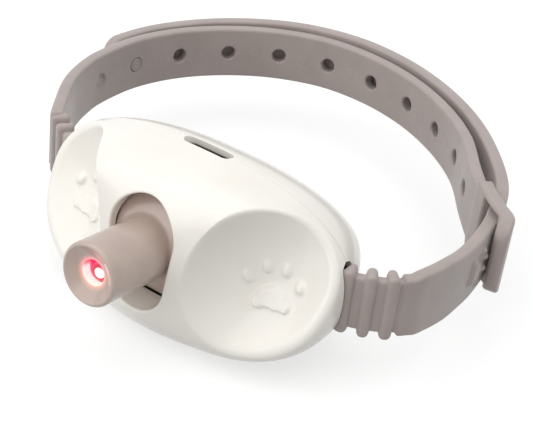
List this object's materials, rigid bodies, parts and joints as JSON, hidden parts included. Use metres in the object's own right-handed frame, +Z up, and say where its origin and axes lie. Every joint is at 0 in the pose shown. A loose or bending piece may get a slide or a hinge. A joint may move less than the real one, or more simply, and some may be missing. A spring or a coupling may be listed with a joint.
{
  "type": "automatic cat laser toy",
  "caption": "Collar-worn cat toy: a rounded pod with a motor-swung laser barrel in a slot, on a pair of soft straps joined by a peg and a keeper loop.",
  "frame": {"origin": "middle of the pod's flat rear face, level with the straps and midway between the two cover screws", "axes": "+X to the right seen from the front, +Y out of the rear face into the collar loop, +Z up towards the charging slot; the laser barrel points to -Y"},
  "size_m": [0.0876, 0.0953, 0.0282],
  "materials": {
    "casing_white": "glossy injection-moulded ABS, ivory white",
    "barrel_taupe": "glossy injection-moulded ABS, warm taupe",
    "strap_silicone": "satin moulded silicone, taupe",
    "brass_turned": "turned",
    "steel_plated": "plated",
    "lens_red": "clear red moulded lens",
    "nylon_black": "moulded nylon",
    "acetal_white": "moulded acetal",
    "cell_foil": "laminated foil pouch",
    "pad_foam": "closed-cell foam",
    "board_green": "glass-filled laminate with solder mask",
    "chip_black": "moulded epoxy",
    "led_pale": "clear resin"
  },
  "bodies": {
    "root": {"front_shell": "casing_white", "rear_cover": "casing_white", "cover_screw_left": "steel_plated", "cover_screw_right": "steel_plated", "swing_frame": "nylon_black", "head_axle": "steel_plated", "axle_clip_left": "steel_plated", "axle_clip_right": "steel_plated", "gear_motor": "steel_plated", "motor_cradle": "nylon_black", "battery_cell": "cell_foil", "battery_pad": "pad_foam", "main_board": "board_green", "control_chip": "chip_black", "charge_chip": "chip_black", "status_led": "led_pale", "power_switch": "nylon_black", "charge_socket_shell": "steel_plated", "charge_socket_tongue": "nylon_black", "holed_strap": "strap_silicone", "peg_strap": "strap_silicone", "strap_pin_left": "steel_plated", "strap_pin_right": "steel_plated"},
    "head": {"swing_head": "barrel_taupe", "laser_module": "brass_turned", "laser_lens": "lens_red", "laser_retainer": "nylon_black", "sector_gear": "acetal_white"},
    "pinion": {"drive_pinion": "acetal_white", "motor_shaft": "steel_plated"},
    "button": {"power_button": "barrel_taupe"}
  },
  "joints": [
    {"name": "head_swing", "type": "hinge", "parent": "root", "child": "head", "pos_m": [0, -0.013, 0.00115], "axis": [1, 0, 0], "range_deg": [-17, 20]},
    {"name": "pinion_spin", "type": "hinge", "parent": "root", "child": "pinion", "pos_m": [0, -0.00547, 0.0055], "axis": [1, 0, 0], "range_deg": [-48.5, 41.5]},
    {"name": "power_button_press", "type": "slide", "parent": "root", "child": "button", "axis": [0, 0, 1], "range_m": [0, 0.0004], "stiffness_N_per_m": 300}
  ],
  "couplings": [
    {"joint": "pinion_spin", "follows": "head_swing", "ratio": -2.4}
  ]
}
